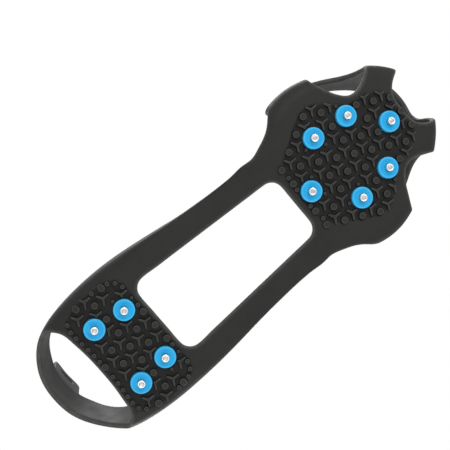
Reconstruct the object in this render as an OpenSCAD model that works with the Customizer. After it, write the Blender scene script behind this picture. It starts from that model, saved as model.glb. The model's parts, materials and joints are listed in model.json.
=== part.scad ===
// Slip-on ice cleat: one rubber moulding that grips a shoe sole, with ten steel studs in blue collars.
// +Y points to the toe, +X to the wearer's right and +Z up. The stud tips stand on Z = 0.
// Outlines are given from the centre of the four heel studs, with Y measured along the sole.

/* [Rubber] */
// Thickness of the rubber
rubber_t = 3.4; // [3:0.1:4.2]
// Radius where the straps turn up round the sole edge
edge_r = 9; // [7:0.5:11]
// Radius of the small upturned lip along the waist
lip_r = 3.5; // [3.4:0.1:5]
// Radius of the upward curve of the toe
toe_curve_r = 405; // [330:5:600]
// Height of the heel wall beside the rear studs
heel_wall_h = 38; // [28:1:44]
// Height of the back band behind the heel
back_band_h = 53; // [46:1:60]
// Height of the lower edge of the toe band
toe_band_low = 29; // [24:1:32]
// Height of the upper edge of the toe band
toe_band_high = 43; // [38:1:48]
// Width of the pull tab
tab_w = 24; // [16:1:30]
// Length of the pull tab above the back band
tab_l = 22; // [14:1:30]

/* [Studs] */
// Diameter of the blue collar
collar_d = 13.2; // [12:0.1:15]
// Height of the collar below the pad
collar_h = 2.3; // [1.6:0.1:3]
// Diameter of the steel pin
pin_d = 4.7; // [4:0.1:5.5]
// Height of the pin beyond the collar
pin_proud = 2.7; // [2:0.1:3.5]
// Diameter of the hard insert in the pin
insert_d = 2.6; // [2:0.1:3]

/* [Tread] */
// Diameter of a round tread lug
lug_d = 4.4; // [3:0.1:5]
// Height of a round tread lug
lug_h = 1.6; // [1:0.1:2]
// Distance between lugs across the sole
lug_pitch = 10.7; // [10:0.1:12]

/* [Hidden] */
eps = 0.01;                             // joins shapes that meet face to face
seam = 0.05;                            // between two regions of the one moulding
slab_w = 160;                           // wider than the sole
slab_h = 60;                            // higher than any pad
chamfer = 0.4;                          // on the collars and the pins
lug_gap = 0.7;                          // between a lug and a collar
lug_root = 0.5;                         // how deep a lug reaches into its pad
sole_z = collar_h + pin_proud;          // underside of the pads
heel_y = -85.9;                         // the centre of the heel studs
toe_curve_y = 114;                      // where the sole starts to curve up, from the heel studs
heel_front = 31;                        // where the heel pad ends and the waist rails start
fore_rear = 122;                        // where the waist rails end and the forefoot pad starts
opening_r = 8;                          // corner radius of the opening between the rails
heel_rear = -31.5;                      // where the heel walls end and the back band starts
strap_rear = 149;                       // ends of the foot of a side strap
strap_front = 189;
toe_strap_rear = 219;                   // ends of the foot of a toe strap
toe_strap_front = 236;
fold_y = 77;                            // the fold line across the two waist rails
fold_gap = 8;                           // length of each web at the fold
fold_edge = 1.2;                        // from the fold line to the edge of each web
fold_web = 0.6;                         // thickness of each web
web_w = 10;                             // width of each web
web_inset = 1;                          // from the opening to each web
web_root = 1;                           // how far each web reaches into its rail
tab_gap = 0.3;                          // between the pull tab's foot and the back band
tab_corner = 7;                         // corner radius of the pull tab
slot_r = 3;                             // radius of the ends of the pull tab's slot
slot_z = 13;                            // height of the slot above the tab's hinge axis
clearance = 0.05;                       // round each pin, collar, washer and insert
collar_seat = 0.6;                      // how deep the collar sits in the rubber
washer_t = 0.8;                         // steel washer inside the rubber
washer_d = 12;
head_t = 0.8;                           // head of the pin, over the washer
head_d = 9;
insert_sunk = 0.35;                     // how far the insert lies inside the pin's rim
insert_l = 2.2;                         // length of the insert
forefoot_row = 10.2;                    // distance between rows of lugs along the sole
heel_row = 9.8;
forefoot_row_y = 136.3;                 // first row of lugs on the forefoot pad
heel_row_y = -1;                        // the row of lugs between the heel studs
lean_toe = 90;                          // radius of the inward curve of the toe straps and band
lean_heel = 170;

FOREFOOT_STUDS = [[0, 142], [23.5, 163.5], [20.5, 188], [0, 207.5], [-20.5, 188], [-23.5, 163.5]];
HEEL_STUDS = [[19, 10.5], [21.5, -10.5], [-21.5, -10.5], [-19, 10.5]];
STUDS = concat(FOREFOOT_STUDS, HEEL_STUDS);

// Half outline of the outer wall, from the middle of the heel round +X to the middle of the toe
EDGE = [[0, -62.5], [16, -60], [30, -51], [39.5, -37], [44, -20], [45.9, 2], [45.6, 20], [43.6, 42], [41, 64],
        [39, 88], [38.4, 108], [40, 122], [46, 138], [52, 150], [55.6, 165], [55, 177], [51.5, 189],
        [44.5, 206], [36, 220.5], [28, 230.5], [17, 239], [0, 243.5]];
LAST = len(EDGE) - 1;
function mirrored(half) = concat(half, [for (i = [len(half) - 2 : -1 : 1]) [-half[i].x, half[i].y]]);

// A smooth curve through points a, b, c and d, between b and c
function between(a, b, c, d, t) =
    b + 0.5 * t * (c - a + t * (2 * a - 5 * b + 4 * c - d + t * (3 * (b - c) + d - a)));

// The wall outline: u counts the points of EDGE, negative beyond the heel and above LAST beyond the toe
function edge_point(i) =
    i < 0 ? [-EDGE[-i].x, EDGE[-i].y] :
    i > LAST ? [-EDGE[2 * LAST - i].x, EDGE[2 * LAST - i].y] : EDGE[i];
function edge(u) =
    let (i = floor(u))
    between(edge_point(i - 1), edge_point(i), edge_point(i + 1), edge_point(i + 2), u - i);
function edge_out(u) =
    let (d = edge(u + 0.02) - edge(u - 0.02))
    [d.y, -d.x] / norm(d);
function edge_at(y) = lookup(y, [for (i = [0 : LAST]) [EDGE[i].y, i]]);
function curve(p, steps) = [for (i = [0 : len(p) - 2], k = [0 : steps - 1])
    between(p[max(i - 1, 0)], p[i], p[i + 1], p[min(i + 2, len(p) - 1)], k / steps)];

// Turn-up radius and inward lean along the outline
function turn_r(y) = lookup(y, [[10, edge_r], [60, lip_r], [115, lip_r], [140, edge_r]]);
function lean_r(y) = y > 100 ? lean_toe : lean_heel;
// The line where the rubber leaves the sole and turns up, between two places along the sole
function turn_line(from, to, steps) = [for (k = [0 : steps])
    let (u = edge_at(from + (to - from) * k / steps), o = edge(u))
    o - edge_out(u) * turn_r(o.y)];

// Half width of the opening between the rails, and half of its rounded end: side is 1 ahead, -1 behind
function opening_w(y) = lookup(y, [[heel_front, 26.4], [fore_rear, 21.3]]);
function opening_end(y, side) =
    [for (a = [90 : -7.5 : 22.5])
        [opening_w(y) - opening_r * (1 - cos(a)), y + side * opening_r * sin(a)]];
// Where the end of a waist rail meets the opening
function rail_foot(y) =
    let (u = edge_at(y), o = edge(u))
    o - edge_out(u) * (o.x - opening_w(y));
// Half outline of the forefoot pad, from the middle of the opening round to the middle of the toe window
FORE_SIDE = [[38.1, fore_rear], [38.9, 127], [40.6, 133.5], [42.4, 141], [43.2, 147]];
FORE_WINDOW = [[42, 187.4], [36.9, 190.9], [32.2, 194.2], [29, 197.8], [27.6, 202.5], [28, 207.3],
               [29.3, 212]];
TOE_WINDOW = [[14.5, 224.2], [11.5, 222], [7, 220.8], [0, 220.4]];
FORE = concat([[0, fore_rear + opening_r]], opening_end(fore_rear, 1), [rail_foot(fore_rear)],
              curve(FORE_SIDE, 3), turn_line(strap_rear, strap_front, 12), curve(FORE_WINDOW, 4),
              turn_line(toe_strap_rear, toe_strap_front, 4), curve(TOE_WINDOW, 4), [[0, 220.4]]);
// Half outline of the heel pad
HEEL_REAR = [[33, heel_rear + 4], [23.5, -25.8], [12, -24.8], [0, -24.4]];
HEEL = concat([[0, heel_front - opening_r]], opening_end(heel_front, -1), [rail_foot(heel_front)],
              turn_line(heel_front, heel_rear, 12), curve(HEEL_REAR, 3), [[0, -24.4]]);

// A point of the rubber: u along the outline, g up the section from where it leaves the sole, d deep
function section(u, g, d) =
    let (o = edge(u), r = turn_r(o.y), quarter = PI * r / 2,
         a = min(max(g, 0), quarter) / r * 180 / PI, up = max(g - quarter, 0), flat = max(-g, 0),
         reach = -r + (r - d) * sin(a) - flat - up * up / 2 / lean_r(o.y),
         p = o + edge_out(u) * reach)
    [p.x, p.y, r - (r - d) * cos(a) + up];
// How far up the section the height h lies
function girth(u, h) =
    let (r = turn_r(edge(u).y))
    h < r ? r * acos(1 - h / r) * PI / 180 : PI * r / 2 + h - r;
// Bends the front of the sole up
function sprung(p) =
    let (a = max(p.y - toe_curve_y, 0) / toe_curve_r * 180 / PI, r = toe_curve_r - p.z)
    p.y <= toe_curve_y ? p : [p.x, toe_curve_y + r * sin(a), toe_curve_r - r * cos(a)];
// An outline on the curved sole, as its top face needs it
function sprung_outline(points) = [for (p = points) [p.x, sprung([p.x, p.y, rubber_t]).y]];

function quad(a, b, c, d) = [[a, c, b], [a, d, c]];
// One closed skin of rubber over a grid of [u, g] places
module rubber_skin(grid) {
    m = len(grid);
    n = len(grid[0]);
    inner = m * n;
    points = [for (d = [0, rubber_t], row = grid, p = row) sprung(section(p.x, p.y, d))];
    faces = [
        for (i = [0 : m - 2], j = [0 : n - 2]) let (a = i * n + j, b = a + n)
            each concat(quad(a, b, b + 1, a + 1), quad(inner + a, inner + a + 1, inner + b + 1, inner + b)),
        for (i = [0 : m - 2]) let (a = i * n, b = a + n, c = a + n - 1, e = b + n - 1)
            each concat(quad(b, a, inner + a, inner + b), quad(c, e, inner + e, inner + c)),
        for (j = [0 : n - 2]) let (a = j, c = (m - 1) * n + j)
            each concat(quad(a, a + 1, inner + a + 1, inner + a), quad(c + 1, c, inner + c, inner + c + 1))
    ];
    placed() polyhedron(points, faces, convexity = 6);
}
module placed() {
    translate([0, heel_y, sole_z]) children();
}
module rubber() {
    color([0.17, 0.17, 0.165]) children();
}
// Sets a stud or a lug on the sole at [x, y]
module on_sole(p) {
    placed()
        if (p.y <= toe_curve_y) translate([p.x, p.y, 0]) children();
        else translate([p.x, toe_curve_y, toe_curve_r])
            rotate([(p.y - toe_curve_y) / toe_curve_r * 180 / PI, 0, 0])
                translate([0, 0, -toe_curve_r]) children();
}

// The sole's side profile, one rubber thickness deep: flat, then curving up
module sole_slab(from, to) {
    placed() rotate([90, 0, 90]) translate([0, 0, -slab_w / 2]) linear_extrude(slab_w) {
        translate([from, 0]) square([toe_curve_y - from + eps, rubber_t]);
        if (to > toe_curve_y) intersection() {
            translate([toe_curve_y, toe_curve_r]) difference() {
                circle(toe_curve_r, $fn = 720);
                circle(toe_curve_r - rubber_t, $fn = 720);
            }
            translate([toe_curve_y, 0]) square([to - toe_curve_y, slab_h]);
        }
    }
}
module stud_holes(studs) {
    for (p = studs) on_sole(p) {
        translate([0, 0, -1]) cylinder(h = rubber_t + 2, r = pin_d / 2 + clearance, $fn = 48);
        translate([0, 0, -1]) cylinder(h = collar_seat + 1, r = collar_d / 2 + clearance, $fn = 64);
        translate([0, 0, rubber_t - washer_t - head_t])
            cylinder(h = 4, r = washer_d / 2 + clearance, $fn = 64);
    }
}
// Round lugs in staggered rows inside a field, clear of the collars
module lugs(first_y, row, rows, field, studs) {
    clear = (collar_d + lug_d) / 2 + lug_gap;
    for (i = rows, j = [-4 : 4]) {
        p = [(j + (i % 2 == 0 ? 0 : 0.5)) * lug_pitch, first_y + i * row];
        if (abs(p.x) <= lookup(p.y, field) && min([for (s = studs) norm(p - s)]) >= clear)
            on_sole(p) translate([0, 0, -lug_h]) cylinder(h = lug_h + lug_root, d = lug_d, $fn = 24);
    }
}

module forefoot_pad() rubber() {
    difference() {
        intersection() {
            placed() linear_extrude(slab_h) polygon(sprung_outline(mirrored(FORE)));
            sole_slab(100, 240);
        }
        stud_holes(FOREFOOT_STUDS);
    }
    lugs(forefoot_row_y, forefoot_row, [0 : 8], [[136, 22], [168, 38], [219, 12]], FOREFOOT_STUDS);
}
module heel_pad() rubber() {
    difference() {
        intersection() {
            placed() linear_extrude(slab_h) polygon(mirrored(HEEL));
            sole_slab(-60, 60);
        }
        stud_holes(HEEL_STUDS);
    }
    lugs(heel_row_y, heel_row, [-1 : 2], [[-30, 33], [10, 34.5], [20, 23]], HEEL_STUDS);
}

// A strap from the sole to the toe band, between two places that change with the height up the section
strap_top = PI * edge_r / 2 + toe_band_low - edge_r;
module strap(rear, front) rubber()
    rubber_skin([for (i = [0 : 8]) [for (j = [0 : 10])
        let (g = seam + (strap_top - seam) * j / 10,
             a = edge_at(lookup(g, rear)), b = edge_at(lookup(g, front)))
        [a + (b - a) * i / 8, g]]]);
module side_strap() strap([[0, strap_rear], [7, 153], [14, 156], [24, 158.5], [35, 157]],
                          [[0, strap_front], [10, 187], [20, 186.5], [28, 187.5], [35, 192]]);
module toe_strap() strap([[0, toe_strap_rear], [12, 222.5], [24, 223], [35, 219]],
                         [[0, toe_strap_front], [12, 237.5], [24, 238.5], [35, 240]]);
module toe_band() rubber() {
    a = edge_at(157);
    rubber_skin([for (i = [0 : 40]) [for (j = [0 : 3])
        let (u = a + (2 * LAST - 2 * a) * i / 40, h = toe_band_low + seam)
        [u, girth(u, h + (toe_band_high - h) * j / 3)]]]);
}

// Height of the top edge of the rubber, from the fold to the middle of the back band
function rim_h(y) = lookup(y, [[-62.5, back_band_h], [-56, back_band_h - 1.5], [-44, heel_wall_h + 6],
                               [-30, heel_wall_h], [-5, heel_wall_h - 3], [20, 30], [45, 21],
                               [60, 13], [72, 6], [82, 4.5], [100, 3.5], [121, 2.5]]);
// Height of the heel window's edge behind the pad
function window_h(y) = lookup(y, [[-62.5, 25], [-56, 24], [-48, 20], [-41, 13], [-36, 6], [-33, 1.5],
                                  [heel_rear, 0]]);
module heel_wall() rubber() {
    a = edge_at(heel_rear);
    b = edge_at(heel_front);
    rubber_skin([for (i = [0 : 10]) [for (j = [0 : 8])
        let (u = a + (b - a) * i / 10) [u, seam + girth(u, rim_h(edge(u).y)) * j / 8]]]);
}
module back_band() rubber() {
    a = edge_at(heel_rear) - eps;
    rubber_skin([for (i = [0 : 24]) [for (j = [0 : 5])
        let (u = -a + 2 * a * i / 24, y = edge(u).y, h = window_h(y) + 4 * seam)
        [u, girth(u, h + (rim_h(y) - h) * j / 5)]]]);
}
// One half of a waist rail, ending in a thin web at the fold line: side is 1 ahead of the fold, -1 behind it
module waist_rail(side, end) {
    a = edge_at(side > 0 ? fold_y + fold_gap : end);
    b = edge_at(side > 0 ? end : fold_y - fold_gap);
    rubber() {
        rubber_skin([for (i = [0 : 8]) [for (j = [0 : 8])
            let (u = a + (b - a) * i / 8, y = edge(u).y,
                 low = opening_w(y) - edge(u).x + turn_r(y), high = girth(u, rim_h(y)))
            [u, j < 2 ? low * (1 - j / 2) : high * (j - 2) / 6]]]);
        placed()
            translate([opening_w(fold_y) + web_inset, fold_y + side * fold_edge, (rubber_t - fold_web) / 2])
            mirror([0, side > 0 ? 0 : 1, 0]) cube([web_w, fold_gap - fold_edge + web_root, fold_web]);
    }
}
// The tab stands on a round foot that lies on its hinge axis, just clear of the band
tab_y = edge(0).y + pow(back_band_h - edge_r, 2) / 2 / lean_heel + rubber_t / 2;
tab_z = back_band_h + rubber_t / 2 + tab_gap;
module pull_tab() rubber() {
    placed() translate([0, tab_y, tab_z]) rotate([90, 0, 0]) {
        translate([0, 0, -rubber_t / 2]) linear_extrude(rubber_t) difference() {
            union() {
                translate([-tab_w / 2, 0]) square([tab_w, tab_l - tab_corner]);
                translate([-tab_w / 2 + tab_corner, 0]) square([tab_w - 2 * tab_corner, tab_l]);
                for (x = [-1, 1])
                    translate([x * (tab_w / 2 - tab_corner), tab_l - tab_corner])
                        circle(tab_corner, $fn = 64);
            }
            translate([-slot_r, slot_z - slot_r]) square([2 * slot_r, 2 * slot_r]);
            for (x = [-slot_r, slot_r]) translate([x, slot_z]) circle(slot_r, $fn = 32);
        }
        rotate([0, 90, 0]) translate([0, 0, -tab_w / 2]) cylinder(h = tab_w, d = rubber_t, $fn = 32);
    }
}

module stud_collar(p) color([0.22, 0.66, 0.88]) on_sole(p) difference() {
    union() {
        translate([0, 0, chamfer - collar_h])
            cylinder(h = collar_h + collar_seat - chamfer, d = collar_d, $fn = 64);
        translate([0, 0, -collar_h])
            cylinder(h = chamfer, d1 = collar_d - 2 * chamfer, d2 = collar_d, $fn = 64);
    }
    translate([0, 0, -collar_h - 1]) cylinder(h = collar_h + 3, r = pin_d / 2 + clearance, $fn = 48);
}
module stud_pin(p) color([0.78, 0.78, 0.78]) on_sole(p) difference() {
    union() {
        translate([0, 0, chamfer - sole_z]) cylinder(h = sole_z + rubber_t - chamfer, d = pin_d, $fn = 48);
        translate([0, 0, -sole_z]) cylinder(h = chamfer, d1 = pin_d - 2 * chamfer, d2 = pin_d, $fn = 48);
        translate([0, 0, rubber_t - head_t]) cylinder(h = head_t, d = head_d, $fn = 48);
    }
    translate([0, 0, -sole_z - 1])
        cylinder(h = 1 + insert_sunk + insert_l, r = insert_d / 2 + clearance, $fn = 32);
}
module stud_insert(p) color([0.35, 0.35, 0.36]) on_sole(p)
    translate([0, 0, -sole_z + insert_sunk]) cylinder(h = insert_l, d = insert_d, $fn = 32);
module stud_washer(p) color([0.7, 0.7, 0.7]) on_sole(p)
    translate([0, 0, rubber_t - head_t - washer_t]) difference() {
        cylinder(h = washer_t, d = washer_d, $fn = 64);
        translate([0, 0, -1]) cylinder(h = washer_t + 2, r = pin_d / 2 + clearance, $fn = 48);
    }

RUBBER_NODES = ["forefoot_pad", "heel_pad", "side_strap_left", "side_strap_right", "toe_strap_left",
    "toe_strap_right", "toe_band", "front_rail_left", "front_rail_right", "rear_rail_left", "rear_rail_right",
    "heel_wall_left", "heel_wall_right", "back_band", "pull_tab"];
STUD_PARTS = ["collar", "pin", "insert", "washer"];

forefoot_pad();
heel_pad();
side_strap();  // side_strap_right
mirror([1, 0, 0]) side_strap();  // side_strap_left
toe_strap();  // toe_strap_right
mirror([1, 0, 0]) toe_strap();  // toe_strap_left
toe_band();
waist_rail(1, fore_rear);  // front_rail_right
mirror([1, 0, 0]) waist_rail(1, fore_rear);  // front_rail_left
waist_rail(-1, heel_front);  // rear_rail_right
mirror([1, 0, 0]) waist_rail(-1, heel_front);  // rear_rail_left
heel_wall();  // heel_wall_right
mirror([1, 0, 0]) heel_wall();  // heel_wall_left
back_band();
pull_tab();
for (i = [1 : len(STUDS)]) {
    stud_collar(STUDS[i - 1]);
    stud_pin(STUDS[i - 1]);
    stud_insert(STUDS[i - 1]);
    stud_washer(STUDS[i - 1]);
}
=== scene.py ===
"""A slip-on shoe ice cleat: one rubber moulding that grips a shoe sole, ten steel studs in blue collars.

Shapes are worked out in millimetres from the middle of the four heel studs, with Y measured along the sole,
and are put into the frame, in metres, by into_frame().
"""
import json
import math
import bpy
import numpy as np
from mathutils import Matrix, Vector, kdtree
from mathutils.geometry import delaunay_2d_cdt

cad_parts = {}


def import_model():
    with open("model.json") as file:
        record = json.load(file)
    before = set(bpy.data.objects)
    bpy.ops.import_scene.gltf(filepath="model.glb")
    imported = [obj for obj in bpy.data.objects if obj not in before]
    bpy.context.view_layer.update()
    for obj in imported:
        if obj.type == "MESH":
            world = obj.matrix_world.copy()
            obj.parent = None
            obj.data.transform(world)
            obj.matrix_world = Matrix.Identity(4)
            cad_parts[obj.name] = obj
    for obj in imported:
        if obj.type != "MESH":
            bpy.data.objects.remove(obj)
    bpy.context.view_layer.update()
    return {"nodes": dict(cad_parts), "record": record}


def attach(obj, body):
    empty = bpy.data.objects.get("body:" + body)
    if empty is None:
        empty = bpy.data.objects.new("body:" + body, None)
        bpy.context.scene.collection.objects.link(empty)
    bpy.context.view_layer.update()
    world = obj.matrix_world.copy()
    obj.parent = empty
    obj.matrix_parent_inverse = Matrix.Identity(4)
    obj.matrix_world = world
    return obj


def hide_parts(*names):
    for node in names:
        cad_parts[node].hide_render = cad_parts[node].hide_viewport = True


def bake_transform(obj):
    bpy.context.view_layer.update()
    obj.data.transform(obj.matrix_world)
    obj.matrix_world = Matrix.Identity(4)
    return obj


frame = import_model()

# ---------------------------------------------------------------- sizes, in millimetres
MM = 0.001

# the moulding
RUBBER_T = 3.4                    # thickness of the rubber
EDGE_R = 9                        # turn-up radius at the straps and walls
LIP_R = 3.5                       # turn-up radius of the lip along the waist
LEAN_TOE, LEAN_HEEL = 90, 170     # radii at which the walls lean in
TOE_CURVE_R = 405                 # upward curve of the toe
TOE_CURVE_Y = 114                 # where it starts
BAND_LOW, BAND_HIGH = 29, 43      # lower and upper edge of the toe band
WINDOW_H, BACK_H = 25, 53         # lower and upper edge of the back band, at its middle
ROUND, PLAIN = 1.3, 0             # edge rounding of the rubber, and none
FIELD_DEPTH = 0.5                 # depth of the tread fields below their smooth border
FIELD_EDGE = 1.2                  # width of the slope down into them

# lugs of the tread: their shapes
LUG_D, LUG_H = 4.4, 1.55                    # round lugs
DOT_D, DOT_H = 2.9, 1.15                    # small ones along the border of the tread
SPOT_D, SPOT_H = 2.2, 1.05                  # the smallest, beside the collars
ARM_W, ARM_H, ARM_REACH = 1.15, 1.25, 4.5   # the arms of a Y-shaped lug
ARM_MIN, ARM_STEP = 1.2, 0.3                # an arm is shortened in steps, down to its least reach
ARM_FILLET = 0.25                           # filling in the notch between two arms
LUG_FLARE, LUG_ROUND = 0.3, 0.3             # at the foot and at the top of every lug
LUG_ROOT = 0.25                             # how deep a lug's foot lies in the rubber
LUG_TAPER = 0.08                            # from a lug's outline out to its foot, and in to its top
LUG_LAND = 0.35                             # from the rounding of a lug's top down to its outline
LUG_RIM = 0.12                              # width of the rim of its flat top, painted paler as a highlight with rubbed wear
LUG_SHADE_AND_SHEEN = -1, -1, -0.5, 0.4, 1, 0.9, 0.05  # per ring from a lug's foot to its top: painted shade (negative) at its foot, painted highlight with rubbed wear (positive) at its rim

# lugs of the tread: their places
PITCH, FORE_ROW = 10.7, 10.2                # spacing of the lugs across and along the forefoot
HEEL_PITCH, HEEL_ROW = 10.8, 9.8            # and on the heel
FORE_FIRST, HEEL_FIRST = 136.3, -20.6       # where the rearmost row of round lugs lies
FORE_REACH = 4, 5, 6, 7, 6, 5, 4, 3, 2      # how far each row reaches to the sides, in half pitches
HEEL_REACH = 0, 7, 6, 7, 4
COLUMNS = range(-5, 6)                      # of the lattice, counted from the middle line
Y_AHEAD = 2 / 3                             # a Y stands this share of a row ahead of a round lug's place
CLEAR = 9.3                                 # no round lug's centre comes nearer to a stud's centre
SPOT_CLEAR, SPOT_GAP = 6, 1.9               # a spot beside the collar stands for a lug that is too near
Y_GAP, ARM_GAP = 1.3, 0.9                   # from a collar to the middle of a Y, and to the ends of its arms
Y_INSET, ARM_PAST = 0.6, 0.5                # from the border in to the middle of a Y, and out to its arms
DOT_PITCH, DOT_INSET = 4.6, 0.2             # from dot to dot at the least, and from a dot to the border
DOT_GAP, DOT_CLEAR = 0.5, 0.6               # from a dot to other lugs, and to a collar

# studs
COLLAR_D, COLLAR_H, COLLAR_SEAT = 13.2, 2.3, 0.6      # the collar's foot is seated in the rubber
PIN_D, PIN_PROUD = 4.7, 2.7                 # the pin's tip stands proud of the collar
HEAD_D, HEAD_T = 9, 0.8                     # the pin's head
INSERT_D, INSERT_L, INSERT_SUNK = 2.6, 2.2, 0.35      # the insert lies a little way inside the tip
WASHER_D, WASHER_T = 12, 0.8
PLAY = 0.05                                 # between a stud's parts

# pull tab
TAB_W, TAB_TOP, TAB_T = 24, 77, 3           # its top is counted from the sole
TAB_FOOT, TAB_CORNER, TAB_ROUND = 49, 7, 1.1
TAB_CURVE = 55                              # radius at which the tab follows the round of the heel
SLOT_Z, SLOT_R, SLOT_ROUND = 68, 3, 0.9

# meshes
SPACING = 1.25                              # of the points on the rubber
EDGE_STEP, FIELD_STEP = 1.5, 1.6            # of the points along its edges, and round the tread fields
TAB_SPACING, TAB_STEP = 1.2, 0.9            # of the points on the tab, and along its edges
HOLE_SIDES, RECESS_SIDES = 24, 48           # points round a stud's hole and round a washer's recess
RECESS_IN, RECESS_OUT = 0.05, 0.12          # foot and top of the recess's steep wall, outside the washer
RECESS_EDGE = 0.06                          # nearer to the washer than this, a point lies in the recess
LUG_SIDES, DOT_SIDES, SPOT_SIDES = 24, 16, 14
LATHE_SIDES = 56                            # points round a turned piece
LIP_LINES = 0.2, 1.4, 2.6, 3.8              # heights, up the section, of the lines that shape the lip
LIP_SPAN = 56, 119, 1.5                     # where those lines start and end along the sole, and their step
ZONE_STEP, FINE_STEP = 2, 0.5               # of points on the outlines that lugs and slopes are placed by
CURVE_SAMPLES, WALL_SAMPLES = 8000, 2000    # along a curve, to space its points, and along the outer wall
GRID_GAP = 0.62                             # least distance from a grid point to a line, in steps of the grid
MERGE = 1e-5                                # points nearer to each other than this are one
EDGE_WEAR_AND_SHEEN, BESIDE_WEAR_AND_SHEEN = 1.0, 0.35          # wear of a rounded edge, and of the points beside it; on the rubber this also paints a highlight

SEAT = next(m for m in frame["record"]["mounts"] if m["name"] == "heel_seat")["pos_m"]
HEEL_Y = SEAT[1] / MM
SOLE_Z = SEAT[2] / MM - RUBBER_T

# places (x, y) of the studs, in the order of their numbers
FORE_STUDS = [(0, 142), (23.5, 163.5), (20.5, 188), (0, 207.5), (-20.5, 188), (-23.5, 163.5)]
HEEL_STUDS = [(19, 10.5), (21.5, -10.5), (-21.5, -10.5), (-19, 10.5)]
STUDS = FORE_STUDS + HEEL_STUDS

# half outline of the outer wall, from the middle of the heel round +X to the middle of the toe
WALL = [(0, -62.5), (16, -60), (30, -51), (39.5, -37), (44, -20), (45.9, 2), (45.6, 20), (43.6, 42), (41, 64),
        (39, 88), (38.4, 108), (40, 122), (46, 138), (52, 150), (55.6, 165), (55, 177), (51.5, 189),
        (44.5, 206), (36, 220.5), (28, 230.5), (17, 239), (0, 243.5)]


# ---------------------------------------------------------------- curves
def smooth_table(x, table):
    """A smooth curve through a table of (x, value) that never overshoots, flat beyond its ends."""
    k, v = np.array(sorted(table), float).T
    h, rise = np.diff(k), np.diff(v)
    slope = rise / h
    m = np.zeros(len(k))
    same = slope[:-1] * slope[1:] > 0
    m[1:-1][same] = 2 * slope[:-1][same] * slope[1:][same] / (slope[:-1] + slope[1:])[same]
    x = np.clip(np.asarray(x, float), k[0], k[-1])
    i = np.clip(np.searchsorted(k, x, side="right") - 1, 0, len(k) - 2)
    t = (x - k[i]) / h[i]
    return (v[i] + t * h[i] * m[i]
            + t * t * (3 * rise[i] - h[i] * (2 * m[i] + m[i + 1]))
            + t ** 3 * (h[i] * (m[i] + m[i + 1]) - 2 * rise[i]))


class ClosedCurve:
    """A closed curve with smooth curvature through its points."""

    def __init__(self, points):
        p = np.array(points, float)
        self.h = np.linalg.norm(np.roll(p, -1, 0) - p, axis=1)
        self.knots = np.concatenate([[0], np.cumsum(self.h)])
        n = len(p)
        before = np.roll(self.h, 1)
        a = np.zeros((n, n))
        rows = np.arange(n)
        a[rows, rows] = 2 * (before + self.h)
        a[rows, rows - 1] += before
        a[rows, (rows + 1) % n] += self.h
        ahead = (np.roll(p, -1, 0) - p) / self.h[:, None]
        self.m = np.linalg.solve(a, 6 * (ahead - np.roll(ahead, 1, 0)))
        self.p = p
        self.length = self.knots[-1]

    def __call__(self, t, order=0):
        """Place (order 0), slope (1) or bend (2) at t, counted along the chords."""
        t = np.mod(t, self.length)
        i = np.clip(np.searchsorted(self.knots, t, side="right") - 1, 0, len(self.p) - 1)
        j = (i + 1) % len(self.p)
        h = self.h[i][:, None]
        b = (t - self.knots[i])[:, None] / h
        a = 1 - b
        p, q, m, n = self.p[i], self.p[j], self.m[i], self.m[j]
        if order == 0:
            return a * p + b * q + ((a ** 3 - a) * m + (b ** 3 - b) * n) * h * h / 6
        if order == 1:
            return (q - p) / h + ((3 * b * b - 1) * n - (3 * a * a - 1) * m) * h / 6
        return a * m + b * n

    def spaced(self, step):
        """Evenly spaced points along the curve."""
        fine = self(np.linspace(0, self.length, CURVE_SAMPLES, endpoint=False))
        run = np.concatenate([[0], np.cumsum(np.linalg.norm(np.roll(fine, -1, 0) - fine, axis=1))])
        count = int(round(run[-1] / step))
        at = np.interp(np.arange(count) * run[-1] / count, run,
                       np.linspace(0, self.length, CURVE_SAMPLES + 1))
        return self(at)


def mirror_half(points):
    """A closed outline from its +X half, whose first and last points lie on the middle line."""
    return list(points) + [(-x, y) for x, y in list(points)[-2:0:-1]]


wall = ClosedCurve(mirror_half(WALL))
HALF = wall.knots[len(WALL) - 1]
wall_t = np.linspace(0, wall.length, WALL_SAMPLES, endpoint=False)
wall_xy = wall(wall_t)
on_right = wall_t <= HALF


def outward(t):
    """The wall outline's outward direction."""
    s = wall(t, 1)
    s /= np.linalg.norm(s, axis=1)[:, None]
    return np.stack([s[:, 1], -s[:, 0]], axis=1)


def nearest_on_wall(p):
    """Where on the wall outline each point of the flat pattern belongs: the nearest sample, then a few of
    Newton's steps, which are kept short so that no point leaves its sample."""
    batch, steps, longest, least_slope = 2000, 4, 0.1, 0.2
    t = np.empty(len(p))
    for k in range(0, len(p), batch):
        part = p[k:k + batch]
        away = ((part[:, None] - wall_xy[None]) ** 2).sum(2)
        t[k:k + batch] = wall_t[away.argmin(1)]
    for _ in range(steps):
        d, s, b = p - wall(t), wall(t, 1), wall(t, 2)
        slope = np.maximum((s * s).sum(1) - (d * b).sum(1), least_slope)
        t = t + np.clip((d * s).sum(1) / slope, -longest, longest)
    return t


def turn_r(y):
    """Radius at which the rubber turns up round the sole."""
    return smooth_table(y, [(10, EDGE_R), (60, LIP_R), (115, LIP_R), (140, EDGE_R)])


def lean_r(y):
    """Radius at which the walls lean in: tight round the toe, wide round the heel."""
    return smooth_table(y, [(80, LEAN_HEEL), (120, LEAN_TOE)])


def girth(y, h):
    """Length up the section, from where the rubber leaves the sole to the height h."""
    r = turn_r(y)
    return np.where(h < r, r * np.arccos(1 - np.minimum(h, r) / r), np.pi * r / 2 + h - r)


def into_frame(p):
    """Millimetres along the sole to metres in the frame, with the toe curved up."""
    x, y, z = np.array(p, float).T
    a = np.maximum(y - TOE_CURVE_Y, 0) / TOE_CURVE_R
    r = TOE_CURVE_R - z
    front = y > TOE_CURVE_Y
    y2 = np.where(front, TOE_CURVE_Y + r * np.sin(a), y)
    z2 = np.where(front, TOE_CURVE_R - r * np.cos(a), z)
    return np.stack([x, y2 + HEEL_Y, z2 + SOLE_Z], axis=1) * MM


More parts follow.
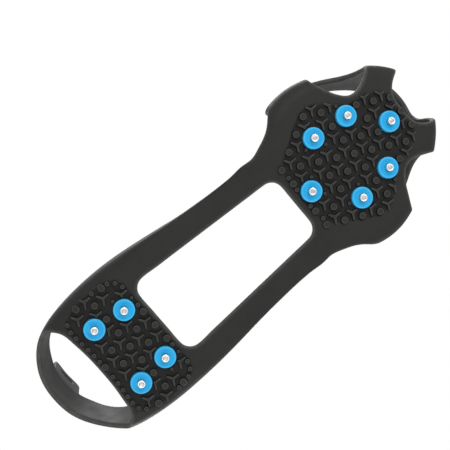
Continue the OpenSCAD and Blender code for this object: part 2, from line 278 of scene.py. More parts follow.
def fold_up(p, depth):
    """Points of the flat pattern, at a depth into the rubber, to their places on the shoe."""
    t = nearest_on_wall(p)
    o, n = wall(t), outward(t)
    r = turn_r(o[:, 1])
    g = ((p - o) * n).sum(1) + r
    quarter = np.pi * r / 2
    a = np.clip(g, 0, quarter) / r
    up = np.maximum(g - quarter, 0)
    reach = (r - depth) * np.sin(a) - r - np.maximum(-g, 0) - up * up / 2 / lean_r(o[:, 1])
    xy = o + n * reach[:, None]
    return into_frame(np.column_stack([xy, r - (r - depth) * np.cos(a) + up]))


def on_wall(y, g):
    """Pattern point on the right side, at the wall beside y and g up the section."""
    t = np.interp(y, wall_xy[on_right, 1], wall_t[on_right])
    t = np.atleast_1d(t)
    r = turn_r(wall(t)[:, 1])
    return tuple((wall(t) + outward(t) * (np.atleast_1d(g) - r)[:, None])[0])


def rim_h(y):
    """Height of the rubber's upper edge, from the forefoot pad back to the middle of the back band."""
    return smooth_table(y, [(-62.5, BACK_H), (-56, 51.5), (-44, 44), (-30, 38), (-5, 35), (20, 30), (45, 21),
                            (60, 13), (72, 6), (82, 4.5), (100, 3.5), (118, 2.6)])


# ---------------------------------------------------------------- outlines of the flat pattern
def outer_edge():
    """Upper edge of the toe band, rear edge of the side strap, then the rim back to the heel."""
    toe = [on_wall(y, girth(y, BAND_HIGH)) for y in (242.6, 239.5, 233, 225, 215, 205, 195, 185, 175, 167)]
    corner = [on_wall(y, g) for y, g in ((162.5, 47.9), (159.3, 46.3), (157.5, 43.2), (157, 39))]
    strap = [on_wall(y, g) for y, g in ((157.6, 32), (158.8, 25), (158.2, 19), (155, 13.4), (150, 9.4),
                                        (144.4, 6.7))]
    side = [(43.7, 139.8), (41, 133.2), (38.9, 126.5)]
    rim_y = [118, 112, 104, 96, 88, 80, 74, 69, 64, 58, 50, 42, 33, 24, 14, 4, -6, -16, -25, -34, -42, -49,
             -55, -59.4, -61.8]
    rim = [on_wall(y, girth(y, rim_h(y))) for y in rim_y]
    top = (0, WALL[-1][1] + girth(243, BAND_HIGH) - EDGE_R)
    back = (0, WALL[0][1] - (girth(-62, BACK_H) - EDGE_R))
    return mirror_half([top] + toe + corner + strap + side + rim + [back])


def midfoot_opening():
    """The opening between the waist rails, with rounded corners."""
    rear, front, corner = 23, 130, 8
    rear_w, front_w = 26.4, 21.3
    arc = [math.radians(a) for a in (0, 18, 36, 54, 72, 90)]
    half = [(0, rear), (9, rear)]
    half += [(rear_w - corner + corner * math.sin(a), rear + corner - corner * math.cos(a)) for a in arc]
    half += [(rear_w + (front_w - rear_w) * k / 10, 31 + 91 * k / 10) for k in range(1, 10)]
    half += [(front_w - corner + corner * math.cos(a), front - corner + corner * math.sin(a)) for a in arc]
    return mirror_half(half + [(7, front), (0, front)])


def heel_window():
    """Between the rear edge of the heel pad and the lower edge of the back band."""
    rise = [on_wall(y, girth(y, h)) for y, h in ((-33.3, 2), (-37, 7.5), (-42.5, 14), (-49.5, 20.2),
                                                 (-56.5, 23.8), (-61, 24.8))]
    low = (0, WALL[0][1] - (girth(-62, WINDOW_H) - EDGE_R))
    return mirror_half([(0, -24.4), (8, -24.5), (16, -25), (24, -25.9), (31, -27.2)] + rise + [low])


def toe_window():
    """Between the toe straps, under the toe band."""
    rise = [on_wall(y, g) for y, g in ((236.4, 6), (237.6, 13), (238.4, 21), (239, 28), (240.4, 32.4),
                                       (242.4, 34))]
    low = (0, WALL[-1][1] + girth(243, BAND_LOW) - EDGE_R)
    return mirror_half([(0, 220.3), (5.5, 220.6), (10.5, 221.7), (14.2, 224.4), (17, 228)] + rise + [low])


def side_window(side):
    """Between a side strap and a toe strap, under the toe band."""
    flat = [(31, 213.8), (28.6, 208.5), (27.6, 202.8), (28.7, 198.2), (31.9, 194.4), (36.9, 190.9),
            (41.6, 188.5)]
    front = [on_wall(y, g) for y, g in ((186.9, 6.5), (186.4, 14), (186.6, 21), (187.6, 28), (191, 33))]
    under = [on_wall(y, g) for y, g in ((197, 34.2), (204, 34.2), (210.5, 34), (216.5, 32.2), (220.8, 27.5),
                                        (222.4, 21), (222.2, 14), (220.8, 8))]
    return [(side * x, y) for x, y in flat + front + under]


def circle(centre, r, count):
    """Points round a circle."""
    a = np.arange(count) * 2 * math.pi / count
    return np.column_stack([centre[0] + r * np.cos(a), centre[1] + r * np.sin(a)])


# half outlines of the two tread fields
FORE_FIELD = [(0, 134.1), (9, 134.2), (17, 135.2), (23.5, 139), (29.5, 147), (35.5, 156.5), (40, 165.5),
              (40.6, 172), (37, 179.5), (31, 186), (25.8, 192.5), (23.8, 200), (22.2, 207), (18.5, 214),
              (13.5, 218.6), (7, 218.4), (0, 217.6)]
HEEL_FIELD = [(0, -22.6), (15, -23), (27, -24), (34.5, -22.5), (38.8, -15), (40.4, -4), (40.4, 6), (38.3, 15),
              (33.5, 19.6), (24, 20.4), (12, 20.4), (0, 20.4)]


def inside(p, loops):
    """Whether each point lies in the material between the loops."""
    odd = np.zeros(len(p), bool)
    for loop in loops:
        a, b = loop, np.roll(loop, -1, 0)
        for (x0, y0), (x1, y1) in zip(a, b):
            if y0 != y1:
                crosses = (p[:, 1] > y0) != (p[:, 1] > y1)
                odd ^= crosses & (p[:, 0] < (x1 - x0) * (p[:, 1] - y0) / (y1 - y0) + x0)
    return odd


def signed_area(loop):
    """Positive for a loop that runs anticlockwise."""
    return (loop[:, 0] * np.roll(loop[:, 1], -1) - np.roll(loop[:, 0], -1) * loop[:, 1]).sum() / 2


def inset(loop, distance, into):
    """The loop moved sideways: into is 1 towards its inside, -1 away from it."""
    ahead = np.roll(loop, -1, 0) - np.roll(loop, 1, 0)
    ahead /= np.linalg.norm(ahead, axis=1)[:, None]
    left = np.stack([-ahead[:, 1], ahead[:, 0]], axis=1) * np.sign(signed_area(loop))
    return loop + left * distance * into


# ---------------------------------------------------------------- sheets of rubber
def distances(points, spot):
    """From each point to the spot."""
    return np.linalg.norm(points - spot, axis=1)


def point_tree(points):
    """For finding the nearest of some points of the pattern."""
    tree = kdtree.KDTree(len(points))
    for i, (x, y) in enumerate(points):
        tree.insert((x, y, 0), i)
    tree.balance()
    return tree


def sheet_mesh(loops, creases, spacing, place, low, high):
    """A sheet with rounded edges, as (vertices, faces, wear with painted light).

    loops are (points, rounding), the outer one first; creases are extra lines of points, closed where their
    ends meet; place(points, depth) puts the sheet in space; low and high give the depth of its two faces.
    Wear is 1 on a rounded edge, where it paints a highlight along with rubbed wear, fades beside it, and is
    negative on a face that lies below the surface, where it paints shade.
    """
    constraints = []
    rings = [inset(loop, rounding, -1 if k else 1) for k, (loop, rounding) in enumerate(loops)]
    fixed = np.vstack(rings + creases)
    start = 0
    for ring in rings + creases:
        n = len(ring)
        constraints += [(start + i, start + i + 1) for i in range(n - 1)]
        if distances(ring[:1], ring[-1])[0] < 2 * spacing:
            constraints.append((start + n - 1, start))
        start += n
    tree = point_tree(fixed)
    lowest, highest = fixed.min(0), fixed.max(0)
    row_h = spacing * math.sqrt(3) / 2
    half = math.ceil(highest[0] / spacing)
    rows = range(int((highest[1] - lowest[1]) / row_h) + 1)
    grid = np.array([((i + (j % 2) / 2) * spacing, lowest[1] + j * row_h)
                     for j in rows for i in range(-half, half + 1)])
    grid = grid[inside(grid, rings)]
    grid = np.array([g for g in grid if tree.find((g[0], g[1], 0))[2] > spacing * GRID_GAP])
    points = [Vector(p) for p in np.vstack([fixed, grid])]
    flat, _, triangles = delaunay_2d_cdt(points, constraints, [], 0, MERGE)[:3]
    flat = np.array([tuple(p) for p in flat])
    triangles = np.array([list(t) for t in triangles])
    triangles = triangles[inside(flat[triangles].mean(1), rings)]
    used, triangles = np.unique(triangles, return_inverse=True)
    flat, triangles = flat[used], triangles.reshape(-1, 3)
    a, b, c = (flat[triangles[:, k]] for k in range(3))
    turn = (b - a)[:, 0] * (c - a)[:, 1] - (b - a)[:, 1] * (c - a)[:, 0]
    triangles[turn < 0] = triangles[turn < 0][:, ::-1]
    count = len(flat)
    verts = [place(flat, low(flat)), place(flat, high(flat))]
    # painted shade: negative values darken the recessed tread field, the deeper the darker
    wear = [np.concatenate([-low(flat) / FIELD_DEPTH, np.zeros(count)])]
    faces = [tuple(t[::-1]) for t in triangles] + [tuple(t + count) for t in triangles]
    index = point_tree(flat)
    total = 2 * count
    for k, (loop, rounding) in enumerate(loops):
        into = 1 if k == 0 else -1
        edge = [index.find((x, y, 0))[1] for x, y in rings[k]]
        n = len(edge)
        lines = [edge]
        if rounding > 0:
            steps = [math.radians(a) for a in (30, 60, 90)]
            profile = [(rounding * (1 - math.sin(a)), rounding * (1 - math.cos(a))) for a in steps]
            for side in (0, 1):
                for away, deep in profile if side == 0 else profile[::-1]:
                    ring = inset(loop, away, into)
                    base = low(rings[k]) + deep if side == 0 else high(rings[k]) - deep
                    verts.append(place(ring, base))
                    # the rounded edge is painted paler: a highlight with rubbed wear
                    wear.append(np.full(n, EDGE_WEAR_AND_SHEEN))
                    lines.append(list(range(total, total + n)))
                    total += n
            for i in edge:
                wear[0][i] = wear[0][i + count] = BESIDE_WEAR_AND_SHEEN
        lines.append([i + count for i in edge])
        flip = (signed_area(loop) > 0) != (k == 0)
        for one, two in zip(lines, lines[1:]):
            for i in range(n):
                j = (i + 1) % n
                quad = (one[i], one[j], two[j], two[i])
                faces.append(quad[::-1] if flip else quad)
    return np.vstack(verts), faces, np.concatenate(wear)


def lug_rings(outline, height):
    """Rings of (points, depth) of a lug with a flared foot and a rounded top, from its outline."""
    rings = [(inset(outline, LUG_FLARE, -1), FIELD_DEPTH + LUG_ROOT),
             (inset(outline, LUG_TAPER, -1), FIELD_DEPTH - LUG_FLARE),
             (outline, LUG_LAND + LUG_ROUND - height)]
    for a in np.radians([30, 60, 90]):
        rings.append((inset(outline, LUG_TAPER + LUG_ROUND * (1 - math.cos(a)), 1),
                      LUG_ROUND * (1 - math.sin(a)) - height))
    rings.append((inset(outline, LUG_TAPER + LUG_ROUND + LUG_RIM, 1), -height))
    return rings


def y_outline(centre, arms):
    """Outline of a lug with three round-ended arms. arms are (direction in degrees, reach)."""
    half = ARM_W / 2
    points = []
    for k, (angle, reach) in enumerate(arms):
        a = math.radians(angle)
        ahead, left = np.array([math.cos(a), math.sin(a)]), np.array([-math.sin(a), math.cos(a)])
        for turn in (-90, -60, -30, 0, 30, 60, 90):
            b = math.radians(turn)
            points.append(ahead * (reach - half + half * math.cos(b)) + left * half * math.sin(b))
        following = math.radians((arms[(k + 1) % len(arms)][0] - angle) % 360) / 2
        notch = a + following
        corner = half / math.sin(following)
        points.append(np.array([math.cos(notch), math.sin(notch)]) * (corner + ARM_FILLET))
    return np.array(points) + centre


def y_arms(centre, studs, border):
    """The three arms of a Y-shaped lug, shortened where a collar or the border is in the way."""
    arms = []
    for angle in (90, 210, 330):
        ahead = np.array([math.cos(math.radians(angle)), math.sin(math.radians(angle))])
        reach = ARM_REACH
        while reach > ARM_MIN:
            end = centre + ahead * reach
            if distances(studs, end).min() >= COLLAR_D / 2 + ARM_GAP and inside(end[None], [border])[0]:
                break
            reach -= ARM_STEP
        arms.append((angle, max(reach, ARM_MIN)))
    return arms


def tread(first, pitch, row, reaches, field, studs):
    """Lugs of one pad as (outline, height, centre): round ones on a staggered lattice, each with a Y in front
    of it, spots beside the collars, and dots in the gaps along the border."""
    studs = np.array(studs, float)
    border = ClosedCurve(mirror_half(field))
    outline = border.spaced(ZONE_STEP)
    y_zone, arm_zone = inset(outline, Y_INSET, 1), inset(outline, ARM_PAST, -1)
    found = []
    for i, reach in enumerate(reaches):
        for j in COLUMNS:
            halves = 2 * j + i % 2
            spot = np.array([halves * pitch / 2, first + i * row])
            away = distances(studs, spot)
            if abs(halves) <= reach and away.min() >= CLEAR:
                found.append((circle(spot, LUG_D / 2, LUG_SIDES), LUG_H, spot))
            elif abs(halves) <= reach and away.min() > SPOT_CLEAR:
                stud = studs[away.argmin()]
                beside = stud + (spot - stud) / away.min() * (COLLAR_D / 2 + SPOT_GAP)
                found.append((circle(beside, SPOT_D / 2, SPOT_SIDES), SPOT_H, beside))
            centre = spot + (0, row * Y_AHEAD)
            if distances(studs, centre).min() >= COLLAR_D / 2 + Y_GAP and inside(centre[None], [y_zone])[0]:
                found.append((y_outline(centre, y_arms(centre, studs, arm_zone)), ARM_H, centre))
    taken = np.vstack([lug[0] for lug in found])
    dots = np.empty((0, 2))
    for dot in inset(border.spaced(FINE_STEP), DOT_D / 2 + DOT_INSET, 1):
        if (distances(taken, dot).min() > DOT_D / 2 + DOT_GAP
                and distances(studs, dot).min() > (COLLAR_D + DOT_D) / 2 + DOT_CLEAR
                and (distances(dots, dot) > DOT_PITCH).all()):
            dots = np.vstack([dots, dot])
            found.append((circle(dot, DOT_D / 2, DOT_SIDES), DOT_H, dot))
    return found


def build_mesh(name, parts, material, sharp=38):
    """One mesh from (vertices in metres, faces, wear with painted light) parts, smooth but for edges over
    sharp degrees.
    """
    verts, faces, wear, start = [], [], [], 0
    for v, f, w in parts:
        verts.append(v)
        wear.append(w)
        faces += [tuple(i + start for i in face) for face in f]
        start += len(v)
    mesh = bpy.data.meshes.new(name)
    mesh.from_pydata(np.vstack(verts).tolist(), [], faces)
    mesh.update()
    layer = mesh.attributes.new("wear", "FLOAT", "POINT")
    layer.data.foreach_set("value", np.concatenate(wear).astype(np.float32))
    mesh.polygons.foreach_set("use_smooth", [True] * len(mesh.polygons))
    mesh.set_sharp_from_angle(angle=math.radians(sharp))
    mesh.materials.append(material)
    obj = bpy.data.objects.new(name, mesh)
    bpy.context.scene.collection.objects.link(obj)
    return obj


def closed_rings(rings, centre, place):
    """A closed lug: rings joined by quads, with a fan from its centre over its top and its foot."""
    n = len(rings[0][0])
    verts = [place(p, np.full(n, d)) for p, d in rings]
    # painted shade at the lug's foot, painted highlight with rubbed wear at its rim
    wear = [np.full(n, w) for w in LUG_SHADE_AND_SHEEN]
    middle = np.array([centre], float)
    verts += [place(middle, np.array([rings[-1][1]])), place(middle, np.array([rings[0][1]]))]
    wear += [np.full(1, LUG_SHADE_AND_SHEEN[-1]), np.full(1, LUG_SHADE_AND_SHEEN[0])]
    faces = []
    for k in range(len(rings) - 1):
        for i in range(n):
            j = (i + 1) % n
            faces.append((k * n + j, k * n + i, (k + 1) * n + i, (k + 1) * n + j))
    top, foot = len(rings) * n, len(rings) * n + 1
    last = (len(rings) - 1) * n
    faces += [(last + (i + 1) % n, last + i, top) for i in range(n)]
    faces += [(i, (i + 1) % n, foot) for i in range(n)]
    return np.vstack(verts), faces, np.concatenate(wear)


# ---------------------------------------------------------------- materials
class Nodes:
    """Short names for building a material's node tree."""

    def __init__(self, name):
        self.material = bpy.data.materials.new(name)
        self.material.use_nodes = True
        self.tree = self.material.node_tree
        self.shader = self.tree.nodes["Principled BSDF"]
        self.place = self.add("ShaderNodeTexCoord").outputs["Object"]

    def add(self, kind, **values):
        node = self.tree.nodes.new(kind)
        for key, value in values.items():
            setattr(node, key, value)
        return node

    def join(self, out, into):
        self.tree.links.new(out, into)

    def noise(self, scale, detail=3, rough=0.55, vector=None):
        node = self.add("ShaderNodeTexNoise")
        node.inputs["Scale"].default_value = scale
        node.inputs["Detail"].default_value = detail
        node.inputs["Roughness"].default_value = rough
        self.join(vector or self.place, node.inputs["Vector"])
        return node.outputs["Fac"]

    def cells(self, scale):
        node = self.add("ShaderNodeTexVoronoi", feature="F1")
        node.inputs["Scale"].default_value = scale
        self.join(self.place, node.inputs["Vector"])
        return node.outputs["Distance"]

    def ramp(self, value, stops):
        """stops are (place, grey or colour)."""
        node = self.add("ShaderNodeValToRGB")
        elements = node.color_ramp.elements
        while len(elements) < len(stops):
            elements.new(0.5)
        for element, (at, colour) in zip(elements, stops):
            element.position = at
            element.color = (*colour, 1) if isinstance(colour, tuple) else (colour, colour, colour, 1)
        self.join(value, node.inputs["Fac"])
        return node.outputs["Color"]

    def mix(self, amount, one, two):
        node = self.add("ShaderNodeMix", data_type="RGBA")
        for value, into in ((amount, node.inputs[0]), (one, node.inputs[6]), (two, node.inputs[7])):
            if isinstance(value, (int, float)):
                into.default_value = value
            elif isinstance(value, tuple):
                into.default_value = (*value, 1)
            else:
                self.join(value, into)
        return node.outputs[2]

    def maths(self, operation, one, two):
        node = self.add("ShaderNodeMath", operation=operation)
        for value, into in zip((one, two), node.inputs):
            if isinstance(value, (int, float)):
                into.default_value = value
            else:
                self.join(value, into)
        return node.outputs[0]

    def bump(self, height, distance, strength, under=None):
        node = self.add("ShaderNodeBump")
        node.inputs["Strength"].default_value = strength
        node.inputs["Distance"].default_value = distance
        self.join(height, node.inputs["Height"])
        if under:
            self.join(under, node.inputs["Normal"])
        return node.outputs["Normal"]

    def attribute(self, name):
        return self.add("ShaderNodeAttribute", attribute_name=name).outputs["Fac"]

    def finish(self, colour=None, roughness=None, normal=None, **fixed):
        for key, value in fixed.items():
            self.shader.inputs[key.replace("_", " ")].default_value = value
        for out, name in ((colour, "Base Color"), (roughness, "Roughness"), (normal, "Normal")):
            if out is not None:
                self.join(out, self.shader.inputs[name])
        return self.material


def rubber_material():
    """Matt black moulded rubber: fine grain, faint flow marks, paler edges painted as highlight with rubbed
    wear, and painted shade that darkens the recessed tread field and the feet of the lugs.
    """
    m = Nodes("black rubber")
    clouds = m.noise(38, 4, 0.6)
    grain = m.noise(2600, 2, 0.6)
    pits = m.cells(1500)
    wear = m.attribute("wear")
    base = m.ramp(clouds, [(0.3, (0.0085, 0.0085, 0.0081)), (0.7, (0.013, 0.0129, 0.0121))])
    speckled = m.mix(m.ramp(grain, [(0.35, 0.0), (0.75, 0.35)]), base, (0.024, 0.024, 0.0225))
    # painted shade: the recessed tread field and the feet of the lugs darkened where the values are negative
    field = m.mix(m.maths("MULTIPLY", m.maths("MAXIMUM", m.maths("MULTIPLY", wear, -1.0), 0.0), 0.75),
                  speckled, (0.003, 0.003, 0.0028))
    # painted highlight, made patchy like rubbed wear, paler on rounded edges and lug rims
    edge_sheen_and_rub = m.maths("MULTIPLY", m.maths("MAXIMUM", wear, 0.0),
                     m.ramp(m.noise(240, 3, 0.6), [(0.2, 0.3), (0.8, 0.8)]))
    colour = m.mix(edge_sheen_and_rub, field, (0.075, 0.075, 0.069))
    rough = m.ramp(m.noise(90, 4, 0.65), [(0.25, 0.56), (0.8, 0.74)])
    flow = m.bump(m.noise(60, 3, 0.5), 0.0004, 0.2)
    fine = m.bump(m.maths("ADD", grain, m.maths("MULTIPLY", pits, 0.6)), 0.00004, 0.5, flow)
    return m.finish(colour, rough, fine, Specular_IOR_Level=0.2)


def collar_material():
    """Satin blue polymer with faint swirls, scuffs and a slightly paler rubbed edge."""
    m = Nodes("blue polymer")
    clouds = m.noise(130, 4, 0.6)
    scuffs = m.ramp(m.noise(900, 5, 0.7), [(0.55, 0.0), (0.75, 0.5)])
    wear = m.attribute("wear")
    base = m.ramp(clouds, [(0.3, (0.008, 0.25, 0.51)), (0.7, (0.012, 0.29, 0.56))])
    scuffed = m.mix(scuffs, base, (0.028, 0.34, 0.61))
    colour = m.mix(m.maths("MULTIPLY", wear, 0.4), scuffed, (0.06, 0.42, 0.68))
    rough = m.ramp(m.noise(420, 4, 0.6), [(0.3, 0.3), (0.75, 0.46)])
    skin = m.bump(m.noise(1800, 3, 0.6), 0.00004, 0.6, m.bump(clouds, 0.0003, 0.25))
    return m.finish(colour, rough, skin, Specular_IOR_Level=0.2, Subsurface_Weight=0.06,
                    Subsurface_Radius=(0.0004, 0.0009, 0.0012))


def turned_material(name, pale, dark, rough_low, rough_high):
    """Turned steel: fine concentric marks, faint pitting and grey patches."""
    m = Nodes(name)
    patches = m.noise(500, 4, 0.65)
    turned = m.noise(60, 3, 0.6, m.add("ShaderNodeUVMap", uv_map="turned").outputs["UV"])
    pits = m.ramp(m.noise(2300, 3, 0.6), [(0.52, 1.0), (0.72, 0.0)])
    colour = m.mix(m.ramp(patches, [(0.35, 0.0), (0.75, 0.8)]), pale, dark)
    uneven = m.maths("MULTIPLY", turned, m.maths("ADD", patches, 0.5))
    rough = m.ramp(uneven, [(0.2, rough_low), (0.8, rough_high)])
    normal = m.bump(pits, 0.00003, 0.4, m.bump(turned, 0.00005, 0.7))
    return m.finish(colour, rough, normal, Metallic=1.0)


def stamped_material(name, pale, dark):
    """Stamped or ground metal: fine grain, grey patches and uneven shine."""
    m = Nodes(name)
    patches = m.noise(420, 4, 0.65)
    grain = m.noise(2600, 4, 0.65)
    colour = m.mix(m.ramp(patches, [(0.3, 0.0), (0.75, 0.9)]), pale, dark)
    rough = m.ramp(m.noise(700, 3, 0.6), [(0.3, 0.3), (0.8, 0.5)])
    return m.finish(colour, rough, m.bump(grain, 0.00005, 0.7), Metallic=1.0)


# ---------------------------------------------------------------- studs
def stud_place(stud):
    """Matrix that sets a stud on the sole, with its own +Z into the shoe."""
    x, y = stud
    a = max(y - TOE_CURVE_Y, 0) / TOE_CURVE_R
    spot = into_frame([(x, y, 0)])[0]
    return Matrix.Translation(Vector(spot)) @ Matrix.Rotation(a, 4, "X")


def lathe(name, profile, stud, material):
    """A turned piece from (radius, height, wear) in millimetres, closed where the profile meets the axis."""
    place = stud_place(stud)
    verts, wear, uv, rings = [], [], [], []
    for r, z, w in profile:
        ring = []
        for k in range(LATHE_SIDES if r > 0 else 1):
            a = 2 * math.pi * k / LATHE_SIDES
            ring.append(len(verts))
            verts.append(place @ Vector((r * math.cos(a) * MM, r * math.sin(a) * MM, z * MM)))
            wear.append(w)
            uv.append((r, z))
        rings.append(ring)
    faces = []
    closed = profile[0][0] > 0
    for one, two in zip(rings, rings[1:] + (rings[:1] if closed else [])):
        for k in range(LATHE_SIDES):
            j = (k + 1) % LATHE_SIDES
            face = [one[k % len(one)], one[j % len(one)], two[j % len(two)], two[k % len(two)]]
            faces.append(tuple(dict.fromkeys(face)))
    part = (np.array([tuple(v) for v in verts]), faces, np.array(wear, float))
    obj = build_mesh(name, [part], material, sharp=50)
    layer = obj.data.uv_layers.new(name="turned")
    for loop in obj.data.loops:
        layer.data[loop.index].uv = uv[loop.vertex_index]
    return obj


def rounded(r, z, size, start):
    """Profile points of a quarter turn round a convex corner, from the angle start, in degrees."""
    turn = np.radians(start + np.array([0, 22.5, 45, 67.5, 90]))
    return [(r + size * math.cos(a), z + size * math.sin(a), EDGE_WEAR_AND_SHEEN) for a in turn]


def dressed(obj, slot, *nodes):
    """The object, once the CAD nodes that it stands for are hidden; slot is not used."""
    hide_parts(*nodes)
    return obj


def collar(i, stud, material):
    """Blue collar: rounded rim, shallow dished face and a small bevel round the pin."""
    rim, hole, low, corner = COLLAR_D / 2, PIN_D / 2 + PLAY, -COLLAR_H, 0.55
    profile = [(hole, COLLAR_SEAT, 0), (hole, low + 0.45, 0), (hole + 0.3, low + 0.2, 0.6),
               (hole + 1.2, low + 0.16, 0), (rim - 1.4, low + 0.1, 0)]
    profile += rounded(rim - corner, low + corner, corner, -90)
    profile += [(rim, COLLAR_SEAT, 0)]
    return dressed(lathe(f"collar_{i}", profile, stud, material), "blue_polymer", f"stud_{i}_collar")


def pin(i, stud, material):
    """Steel pin: hollow tip with a soft rim, shaft, and a wide head that lies in the rubber."""
    shaft, head, hole, corner = PIN_D / 2, HEAD_D / 2, INSERT_D / 2 + PLAY, 0.42
    tip = -COLLAR_H - PIN_PROUD
    depth, under = tip + INSERT_SUNK + INSERT_L, RUBBER_T - HEAD_T
    profile = [(0, depth, 0), (hole, depth, 0), (hole, tip + 0.28, 0), (hole + 0.25, tip + 0.04, 1)]
    profile += rounded(shaft - corner, tip + corner, corner, -90)
    profile += [(shaft, under, 0), (head - 0.1, under, 0), (head, under + 0.1, 0.5),
                (head, RUBBER_T - 0.25, 0.5), (head - 0.25, RUBBER_T, 1), (0, RUBBER_T, 0)]
    return dressed(lathe(f"pin_{i}", profile, stud, material), "steel", f"stud_{i}_pin")


def insert(i, stud, material):
    """Hard insert in the pin's hollow tip, with a slightly crowned face."""
    r, corner = INSERT_D / 2, 0.2
    low = INSERT_SUNK - COLLAR_H - PIN_PROUD
    profile = [(0, low, 0), (r / 2, low + 0.02, 0)]
    profile += rounded(r - corner, low + 0.06 + corner, corner, -90)
    profile += [(r, low + INSERT_L, 0), (0, low + INSERT_L, 0)]
    return dressed(lathe(f"insert_{i}", profile, stud, material), "carbide", f"stud_{i}_insert")


def washer(i, stud, material):
    """Stamped washer under the pin's head, with rolled edges."""
    hole, rim, corner = PIN_D / 2 + PLAY, WASHER_D / 2, 0.2
    top = RUBBER_T - HEAD_T
    low = top - WASHER_T
    profile = [(hole, top, 0), (hole, low, 0)]
    profile += rounded(rim - corner, low + corner, corner, -90)
    profile += rounded(rim - corner, top - corner, corner, 0)
    return dressed(lathe(f"washer_{i}", profile, stud, material), "steel", f"stud_{i}_washer")


# ---------------------------------------------------------------- the moulding
def face_depths(fields):
    """Depth of the ground face and of the shoe face of the moulding, at points of the pattern."""
    recess = WASHER_T + HEAD_T
    studs = np.array(STUDS, float)
    fine = [ClosedCurve(mirror_half(f)).spaced(FINE_STEP) for f in fields]

    def ground(p):
        depth = np.zeros(len(p))
        for loop in fine:
            within = inside(p, [loop])
            if within.any():
                q = p[within]
                away = np.sqrt(((q[:, None] - loop[None]) ** 2).sum(2).min(1))
                s = np.clip(away / FIELD_EDGE, 0, 1)
                depth[within] = FIELD_DEPTH * s * s * (3 - 2 * s)
        return depth

    def shoe(p):
        away = np.sqrt(((p[:, None] - studs[None]) ** 2).sum(2).min(1))
        return np.where(away < WASHER_D / 2 + RECESS_EDGE, RUBBER_T - recess, RUBBER_T)

    return ground, shoe


def moulding(material):
    """The one-piece rubber moulding with its tread."""
    edges = [outer_edge(), midfoot_opening(), heel_window(), toe_window(), side_window(1), side_window(-1)]
    loops = [(ClosedCurve(e).spaced(EDGE_STEP), ROUND) for e in edges]
    loops += [(circle(stud, PIN_D / 2 + 2 * PLAY, HOLE_SIDES), PLAIN) for stud in STUDS]
    creases = []
    for field in (FORE_FIELD, HEEL_FIELD):
        outline = ClosedCurve(mirror_half(field)).spaced(FIELD_STEP)
        creases += [inset(outline, FIELD_EDGE * k / 3, 1) for k in range(4)]
    for stud in STUDS:
        creases += [circle(stud, WASHER_D / 2 + d, RECESS_SIDES) for d in (RECESS_IN, RECESS_OUT)]
    for side in (1, -1):
        for g in LIP_LINES:
            line = np.array([on_wall(y, g) for y in np.arange(*LIP_SPAN)])
            creases.append(line * (side, 1))
    ground, shoe = face_depths([FORE_FIELD, HEEL_FIELD])
    parts = [sheet_mesh(loops, creases, SPACING, fold_up, ground, shoe)]
    lugs = tread(FORE_FIRST, PITCH, FORE_ROW, FORE_REACH, FORE_FIELD, FORE_STUDS)
    lugs += tread(HEEL_FIRST, HEEL_PITCH, HEEL_ROW, HEEL_REACH, HEEL_FIELD, HEEL_STUDS)
    parts += [closed_rings(lug_rings(outline, height), centre, fold_up) for outline, height, centre in lugs]
    obj = build_mesh("moulding", parts, material)
    nodes = [n for n in frame["nodes"] if not n.startswith("stud_") and n != "pull_tab"]
    return dressed(obj, "rubber", *nodes)


def pull_tab(material):
    """The tab on the back band: a rounded plate with a slot, whose foot is one with the band."""
    half = TAB_W / 2
    arc = np.radians([0, 22.5, 45, 67.5, 90])
    outline = [(0, TAB_FOOT), (6, TAB_FOOT), (half - 0.5, TAB_FOOT), (half + 0.6, TAB_FOOT + 2),
               (half + 0.3, TAB_FOOT + 5), (half, TAB_FOOT + 9), (half, TAB_FOOT + 15),
               (half, TAB_TOP - TAB_CORNER - 5)]
    outline += [(half + TAB_CORNER * (math.cos(a) - 1), TAB_TOP + TAB_CORNER * (math.sin(a) - 1))
                for a in arc]
    outline += [(0, TAB_TOP)]
    slot = [(side * (SLOT_R + SLOT_R * math.cos(a)), SLOT_Z + side * SLOT_R * math.sin(a))
            for side in (-1, 1) for a in np.radians(range(-90, 91, 20))]
    middle = WALL[0][1] + (BACK_H - EDGE_R) ** 2 / 2 / LEAN_HEEL + RUBBER_T / 2

    def place(p, depth):
        """Follows the band's lean up to its top edge, then stands upright."""
        drop = np.minimum(p[:, 1] - BACK_H, 0)
        lean = drop * (BACK_H - EDGE_R + drop / 2) / LEAN_HEEL
        plan = p[:, 0] ** 2 / 2 / TAB_CURVE
        return into_frame(np.column_stack([p[:, 0], middle + lean + plan - TAB_T / 2 + depth, p[:, 1]]))

    def front(p):
        return np.zeros(len(p))

    def back(p):
        return np.full(len(p), TAB_T)

    loops = [(ClosedCurve(mirror_half(outline)).spaced(TAB_STEP), TAB_ROUND),
             (ClosedCurve(slot).spaced(TAB_STEP), SLOT_ROUND)]
    parts = [sheet_mesh(loops, [], TAB_SPACING, place, front, back)]
    return dressed(build_mesh("pull_tab_rubber", parts, material), "rubber", "pull_tab")


rubber, blue = rubber_material(), collar_material()
steel = turned_material("turned steel", (0.82, 0.81, 0.79), (0.55, 0.54, 0.53), 0.16, 0.42)
washer_steel = stamped_material("stamped steel", (0.62, 0.62, 0.61), (0.42, 0.42, 0.41))
carbide = stamped_material("ground carbide", (0.62, 0.61, 0.6), (0.34, 0.33, 0.33))

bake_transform(moulding(rubber))
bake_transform(pull_tab(rubber))

for number, stud in enumerate(STUDS, 1):
    body = "forefoot_half" if number <= len(FORE_STUDS) else "heel_half"
    for make, material in ((collar, blue), (pin, steel), (insert, carbide), (washer, washer_steel)):
        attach(make(number, stud, material), body)


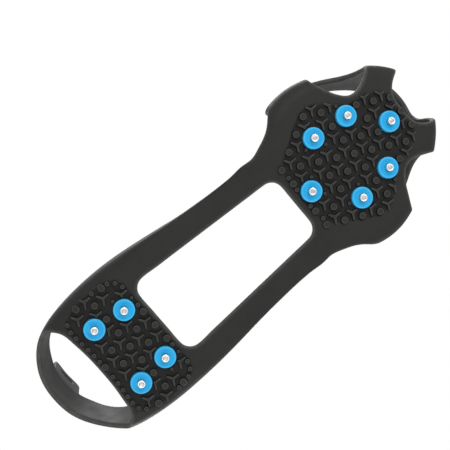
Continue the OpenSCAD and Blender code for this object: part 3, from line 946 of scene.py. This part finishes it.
# ---------------------------------------------------------------- camera, floor and light
def camera():
    """Below the sole and to one side, as the object is shown: toe to the upper right."""
    data = bpy.data.cameras.new("camera")
    data.sensor_width = 36
    data.lens = 90.6
    data.clip_end = 20
    obj = bpy.data.objects.new("camera", data)
    right = Vector((-0.6391, 0.7617, -0.1064)).normalized()
    up = Vector((0.7553, 0.6477, 0.0998))
    up = (up - right * up.dot(right)).normalized()
    back = right.cross(up)
    spot = Vector((116.7, 78.0 + HEEL_Y, -665.5)) * MM
    turn = Matrix((right, up, back)).transposed().to_4x4()
    obj.matrix_world = Matrix.Translation(spot) @ turn
    bpy.context.scene.collection.objects.link(obj)
    bpy.context.scene.camera = obj


def floor():
    """A pale floor that is solid from above and clear from below, where the camera is."""
    half, z = 6, -0.0004        # metres
    corners = [(-half, -half, z), (half, -half, z), (half, half, z), (-half, half, z)]
    mesh = bpy.data.meshes.new("floor")
    mesh.from_pydata(corners, [], [(0, 1, 2, 3)])
    material = bpy.data.materials.new("pale floor")
    material.use_nodes = True
    tree = material.node_tree
    tree.nodes.clear()
    out = tree.nodes.new("ShaderNodeOutputMaterial")
    paint = tree.nodes.new("ShaderNodeBsdfDiffuse")
    paint.inputs["Color"].default_value = (0.62, 0.62, 0.61, 1)
    clear = tree.nodes.new("ShaderNodeBsdfTransparent")
    mix = tree.nodes.new("ShaderNodeMixShader")
    side = tree.nodes.new("ShaderNodeNewGeometry")
    tree.links.new(side.outputs["Backfacing"], mix.inputs[0])
    tree.links.new(paint.outputs[0], mix.inputs[1])
    tree.links.new(clear.outputs[0], mix.inputs[2])
    tree.links.new(mix.outputs[0], out.inputs["Surface"])
    mesh.materials.append(material)
    obj = bpy.data.objects.new("floor", mesh)
    bpy.context.scene.collection.objects.link(obj)
    obj.visible_shadow = False
    obj.visible_diffuse = False
    obj.visible_glossy = False


def light(name, place, size, power):
    """A round soft light that shines at the middle of the cleat."""
    data = bpy.data.lights.new(name, "AREA")
    data.shape = "DISK"
    data.size = size
    data.energy = power
    obj = bpy.data.objects.new(name, data)
    obj.location = place
    obj.rotation_euler = (-Vector(place)).to_track_quat("-Z", "Y").to_euler()
    bpy.context.scene.collection.objects.link(obj)


def world():
    """Even white light from all round."""
    w = bpy.data.worlds.new("world")
    bpy.context.scene.world = w
    w.use_nodes = True
    background = w.node_tree.nodes["Background"]
    background.inputs["Color"].default_value = (1, 1, 1, 1)
    background.inputs["Strength"].default_value = 1.0


camera()
floor()
world()
light("key below", (0.55, 0.75, -0.75), 0.5, 7)
light("fill below", (-0.6, -0.5, -0.7), 0.9, 4)
light("key above", (0.7, 0.5, 1.2), 0.8, 14)
light("rim above", (-0.9, -0.6, 0.7), 0.6, 8)

bpy.context.scene.view_settings.view_transform = "Standard"
bpy.context.view_layer.update()
